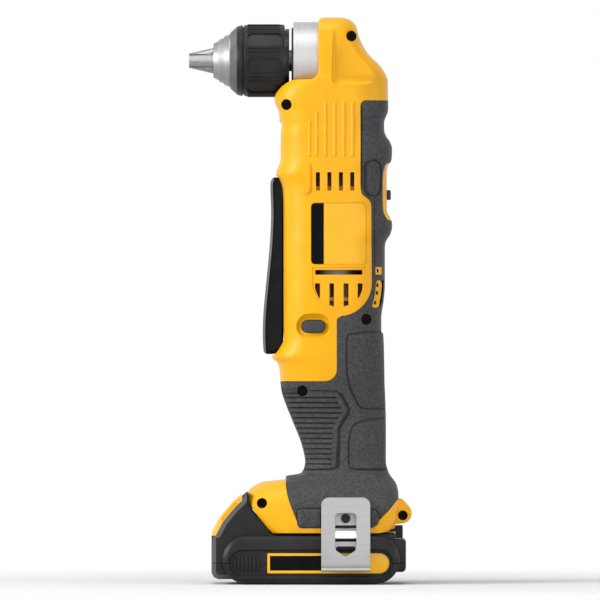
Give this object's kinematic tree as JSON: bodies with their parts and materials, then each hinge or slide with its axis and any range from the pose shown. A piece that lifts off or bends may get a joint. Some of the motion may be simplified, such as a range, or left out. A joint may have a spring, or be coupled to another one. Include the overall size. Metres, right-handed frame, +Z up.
{
  "type": "right angle drill",
  "caption": "Cordless right angle drill with keyless chuck, paddle trigger, bevel and planetary gear train and a slide battery pack.",
  "frame": {"origin": "on the underside of the battery pack, below the motor axis", "axes": "+Z up along the motor axis, -X the way the chuck points, Y across the parting plane of the housing"},
  "size_m": [0.1262, 0.0835, 0.32],
  "materials": {
    "yellow_shell": "moulded, fine texture",
    "grip_rubber": "soft touch overmould",
    "black_plastic": "moulded",
    "case_alloy": "die cast",
    "steel": "machined",
    "gear_steel": "hobbed",
    "brass": "stamped",
    "copper": "wound wire",
    "magnet": "sintered",
    "wire": "insulated",
    "lens": "clear",
    "label": "plain",
    "cell_wrap": "shrink sleeve"
  },
  "bodies": {
    "housing": {"left_housing": "yellow_shell", "right_housing": "yellow_shell", "left_grip": "grip_rubber", "right_grip": "grip_rubber", "left_label": "label", "right_label": "label", "gear_case": "case_alloy", "spindle_bearing": "steel", "spindle_bush": "brass", "pinion_bearing": "steel", "dust_seal": "black_plastic", "ring_gear": "gear_steel", "motor_can": "steel", "motor_bearing": "brass", "motor_magnets": "magnet", "motor_end_cap": "black_plastic", "carbon_brushes": "magnet", "trigger_pin": "steel", "switch_module": "black_plastic", "led_lens": "lens", "housing_screws": "steel", "terminal_block": "black_plastic", "terminal_blades": "brass", "wire_harness": "wire", "belt_hook": "steel", "belt_hook_screw": "steel", "hook_insert": "brass"},
    "spindle": {"spindle": "steel", "bevel_gear": "gear_steel", "chuck_body": "steel", "chuck_rear_collar": "steel"},
    "sleeve": {"chuck_sleeve": "black_plastic", "chuck_nut": "gear_steel"},
    "jaw_a": {"jaw_1": "steel"},
    "jaw_b": {"jaw_2": "steel"},
    "jaw_c": {"jaw_3": "steel"},
    "carrier": {"bevel_pinion": "gear_steel", "planet_carrier": "gear_steel"},
    "planet_a": {"planet_gear_1": "gear_steel"},
    "planet_b": {"planet_gear_2": "gear_steel"},
    "planet_c": {"planet_gear_3": "gear_steel"},
    "rotor": {"motor_shaft": "steel", "armature_core": "gear_steel", "armature_windings": "copper", "commutator": "copper", "cooling_fan": "black_plastic", "sun_gear": "gear_steel"},
    "trigger": {"trigger": "black_plastic"},
    "plunger": {"switch_plunger": "black_plastic"},
    "direction": {"direction_button": "black_plastic"},
    "selector": {"speed_selector": "black_plastic"},
    "battery": {"battery_upper_case": "black_plastic", "battery_lower_case": "black_plastic", "battery_screws": "steel", "battery_cells": "cell_wrap", "battery_bus_bars": "brass", "battery_label_left": "label", "battery_label_right": "label", "battery_finger_ribs": "black_plastic"},
    "latch": {"battery_latch": "yellow_shell"}
  },
  "joints": [
    {"name": "motor_spin", "type": "hinge", "parent": "housing", "child": "rotor", "pos_m": [0, 0, 0.195], "axis": [0, 0, 1], "continuous": true},
    {"name": "carrier_spin", "type": "hinge", "parent": "housing", "child": "carrier", "pos_m": [0, 0, 0.26], "axis": [0, 0, 1], "continuous": true},
    {"name": "planet_1_spin", "type": "hinge", "parent": "carrier", "child": "planet_a", "pos_m": [0.0105, 0, 0.2415], "axis": [0, 0, 1], "continuous": true},
    {"name": "planet_2_spin", "type": "hinge", "parent": "carrier", "child": "planet_b", "pos_m": [-0.00525, 0.00909, 0.2415], "axis": [0, 0, 1], "continuous": true},
    {"name": "planet_3_spin", "type": "hinge", "parent": "carrier", "child": "planet_c", "pos_m": [-0.00525, -0.00909, 0.2415], "axis": [0, 0, 1], "continuous": true},
    {"name": "spindle_spin", "type": "hinge", "parent": "housing", "child": "spindle", "pos_m": [0, 0, 0.2958], "axis": [1, 0, 0], "continuous": true},
    {"name": "chuck_sleeve_turn", "type": "hinge", "parent": "spindle", "child": "sleeve", "pos_m": [-0.04, 0, 0.2958], "axis": [1, 0, 0], "range_deg": [0, 3132]},
    {"name": "jaw_1_slide", "type": "slide", "parent": "spindle", "child": "jaw_a", "axis": [0.9659, -0.2588, 0], "range_m": [0, 0.0174]},
    {"name": "jaw_2_slide", "type": "slide", "parent": "spindle", "child": "jaw_b", "axis": [0.9659, 0.1294, -0.2241], "range_m": [0, 0.0174]},
    {"name": "jaw_3_slide", "type": "slide", "parent": "spindle", "child": "jaw_c", "axis": [0.9659, 0.1294, 0.2241], "range_m": [0, 0.0174]},
    {"name": "trigger_squeeze", "type": "hinge", "parent": "housing", "child": "trigger", "pos_m": [-0.0283, 0, 0.225], "axis": [0, -1, 0], "range_deg": [0, 5], "stiffness_Nm_per_rad": 4, "springref_deg": -2.86},
    {"name": "plunger_push", "type": "slide", "parent": "housing", "child": "plunger", "axis": [1, 0, 0], "range_m": [0, 0.0079]},
    {"name": "direction_push", "type": "slide", "parent": "housing", "child": "direction", "axis": [0, 1, 0], "range_m": [-0.0024, 0.0024]},
    {"name": "speed_select", "type": "slide", "parent": "housing", "child": "selector", "axis": [0, 0, 1], "range_m": [0, 0.007]},
    {"name": "battery_slide", "type": "slide", "parent": "housing", "child": "battery", "axis": [-1, 0, 0], "range_m": [0, 0.08]},
    {"name": "latch_press", "type": "slide", "parent": "battery", "child": "latch", "axis": [0, 0, -1], "range_m": [0, 0.003], "stiffness_N_per_m": 1500, "springref_m": -0.002}
  ],
  "couplings": [
    {"joint": "carrier_spin", "follows": "motor_spin", "ratio": 0.2},
    {"joint": "planet_1_spin", "follows": "motor_spin", "ratio": -0.53333},
    {"joint": "planet_2_spin", "follows": "motor_spin", "ratio": -0.53333},
    {"joint": "planet_3_spin", "follows": "motor_spin", "ratio": -0.53333},
    {"joint": "spindle_spin", "follows": "motor_spin", "ratio": -0.1},
    {"joint": "jaw_1_slide", "follows": "chuck_sleeve_turn", "m_per_rad": 0.00031831},
    {"joint": "jaw_2_slide", "follows": "chuck_sleeve_turn", "m_per_rad": 0.00031831},
    {"joint": "jaw_3_slide", "follows": "chuck_sleeve_turn", "m_per_rad": 0.00031831},
    {"joint": "plunger_push", "follows": "trigger_squeeze", "m_per_rad": 0.0905}
  ]
}
